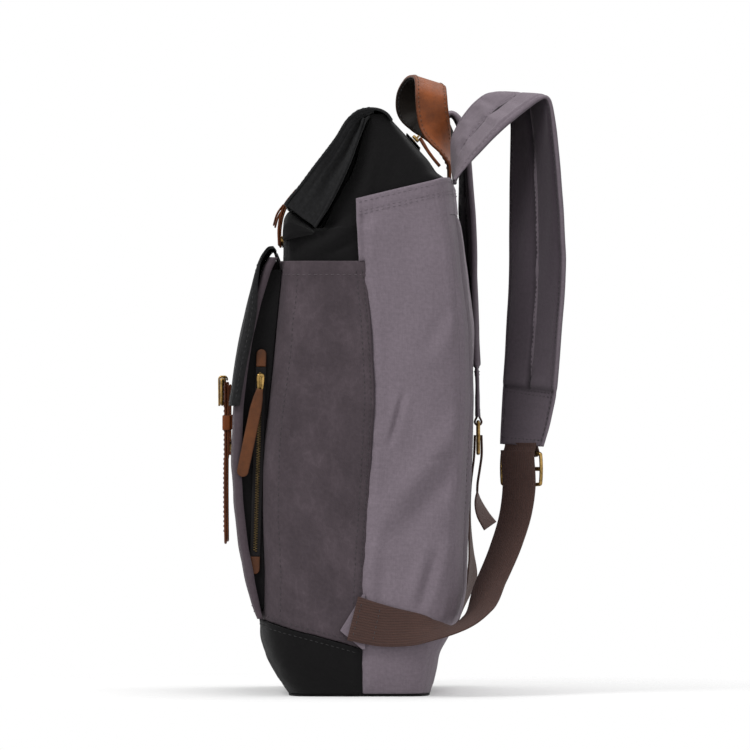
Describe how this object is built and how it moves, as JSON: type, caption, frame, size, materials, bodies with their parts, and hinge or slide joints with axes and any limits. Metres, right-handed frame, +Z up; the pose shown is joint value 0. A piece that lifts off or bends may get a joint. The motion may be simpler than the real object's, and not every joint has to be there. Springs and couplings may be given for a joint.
{
  "type": "travel backpack",
  "caption": "Canvas travel backpack with a folded roll-top, a flap pocket closed by leather straps, a zipped pocket side, a leather carry handle and padded shoulder straps.",
  "frame": {"origin": "centre of the flat base underside, at floor level", "axes": "+Z up, +Y towards the wearer's back, +X to the side with the zipped pocket"},
  "size_m": [0.3355, 0.2813, 0.5025],
  "materials": {
    "grey_canvas": "matte woven",
    "waxed_canvas": "waxed",
    "black_canvas": "matte woven",
    "leather": "oiled",
    "webbing": "ribbed",
    "zip_tape": "woven",
    "brass": "antique",
    "board": "matte",
    "foam": "closed cell"
  },
  "bodies": {
    "bag": {"bottom_panel": "black_canvas", "base_boot": "black_canvas", "collar_front": "black_canvas", "collar_back": "black_canvas", "collar_gusset_right": "black_canvas", "collar_gusset_left": "black_canvas", "flap_seam": "black_canvas", "pocket_gusset_right": "black_canvas", "pocket_gusset_left": "black_canvas", "side_panel_front_right": "waxed_canvas", "side_panel_front_left": "waxed_canvas", "front_panel": "waxed_canvas", "side_panel_rear_right": "grey_canvas", "side_panel_rear_left": "grey_canvas", "back_panel": "grey_canvas", "pocket_front": "grey_canvas", "side_tab_right": "grey_canvas", "side_tab_left": "grey_canvas", "inner_sleeve": "grey_canvas", "base_board": "board", "back_foam": "foam", "pocket_zip_tabs": "leather", "roll_studs": "brass", "rear_zip_teeth": "brass", "pocket_zip_teeth": "brass", "flap_studs": "brass", "rear_zip_tape": "zip_tape", "pocket_zip_tape": "zip_tape", "strap_webbing_right": "webbing", "strap_webbing_left": "webbing"},
    "flap": {"front_flap": "black_canvas", "flap_tab_right": "leather", "flap_tab_left": "leather", "flap_strap_right": "leather", "flap_strap_left": "leather", "flap_buckle_right": "brass", "flap_buckle_left": "brass"},
    "prong_right": {"flap_prong_right": "brass"},
    "prong_left": {"flap_prong_left": "brass"},
    "keeper_right": {"flap_keeper_right": "leather"},
    "keeper_left": {"flap_keeper_left": "leather"},
    "roll": {"roll_outer": "black_canvas", "roll_inner": "black_canvas", "roll_gusset_right": "black_canvas", "roll_gusset_left": "black_canvas", "roll_strap_right": "leather", "roll_strap_left": "leather"},
    "handle": {"carry_handle": "leather"},
    "strap_right": {"shoulder_pad_right": "grey_canvas", "strap_loop_right": "webbing"},
    "strap_left": {"shoulder_pad_left": "grey_canvas", "strap_loop_left": "webbing"},
    "glide_right": {"tri_glide_right": "brass"},
    "glide_left": {"tri_glide_left": "brass", "webbing_end": "webbing"},
    "pocket_slider": {"pocket_zip_slider": "brass"},
    "pocket_pull": {"pocket_zip_pull": "leather"},
    "rear_slider": {"rear_zip_slider": "brass"},
    "rear_pull": {"rear_zip_pull": "leather"}
  },
  "joints": [
    {"name": "flap_lift", "type": "hinge", "parent": "bag", "child": "flap", "pos_m": [0, -0.0695, 0.36], "axis": [-1, 0, 0], "range_deg": [0, 100]},
    {"name": "prong_right_lift", "type": "hinge", "parent": "flap", "child": "prong_right", "pos_m": [0.06, -0.1117, 0.254], "axis": [-1, 0, 0], "range_deg": [0, 85]},
    {"name": "prong_left_lift", "type": "hinge", "parent": "flap", "child": "prong_left", "pos_m": [-0.06, -0.1117, 0.254], "axis": [-1, 0, 0], "range_deg": [0, 85]},
    {"name": "keeper_right_slide", "type": "slide", "parent": "flap", "child": "keeper_right", "axis": [0, 0, 1], "range_m": [-0.006, 0.006]},
    {"name": "keeper_left_slide", "type": "slide", "parent": "flap", "child": "keeper_left", "axis": [0, 0, 1], "range_m": [-0.006, 0.006]},
    {"name": "roll_open", "type": "hinge", "parent": "bag", "child": "roll", "pos_m": [0, 0.0175, 0.469], "axis": [-1, 0, 0], "range_deg": [0, 115]},
    {"name": "handle_swing", "type": "hinge", "parent": "bag", "child": "handle", "pos_m": [0, 0.0725, 0.42], "axis": [-1, 0, 0], "range_deg": [0, 75]},
    {"name": "strap_right_swing", "type": "hinge", "parent": "bag", "child": "strap_right", "pos_m": [0.076, 0.0769, 0.4145], "axis": [1, 0, 0], "range_deg": [0, 25], "deforming": ["strap_webbing_right"]},
    {"name": "strap_left_swing", "type": "hinge", "parent": "bag", "child": "strap_left", "pos_m": [-0.075, 0.0778, 0.4145], "axis": [1, 0, 0], "range_deg": [0, 25], "deforming": ["strap_webbing_left"]},
    {"name": "glide_right_tilt", "type": "hinge", "parent": "strap_right", "child": "glide_right", "pos_m": [0.087, 0.13, 0.195], "axis": [0.7314, 0.682, 0], "range_deg": [-12, 12], "deforming": ["strap_webbing_right"]},
    {"name": "glide_left_tilt", "type": "hinge", "parent": "strap_left", "child": "glide_left", "pos_m": [-0.103, 0.097, 0.219], "axis": [1, 0, 0], "range_deg": [-8, 12], "deforming": ["strap_webbing_left"]},
    {"name": "pocket_zip", "type": "slide", "parent": "bag", "child": "pocket_slider", "axis": [0, 0.0316, 0.9995], "range_m": [-0.125, 0.003]},
    {"name": "pocket_pull_flip", "type": "hinge", "parent": "pocket_slider", "child": "pocket_pull", "pos_m": [0.1375, -0.07991, 0.24793], "axis": [0, -0.9995, 0.0316], "range_deg": [0, 120]},
    {"name": "rear_zip", "type": "slide", "parent": "bag", "child": "rear_slider", "axis": [1, 0, 0], "range_m": [-0.21, 0.003]},
    {"name": "rear_pull_flip", "type": "hinge", "parent": "rear_slider", "child": "rear_pull", "pos_m": [0.104, 0.04695, 0.4496], "axis": [1, 0, 0], "range_deg": [0, 130]}
  ]
}
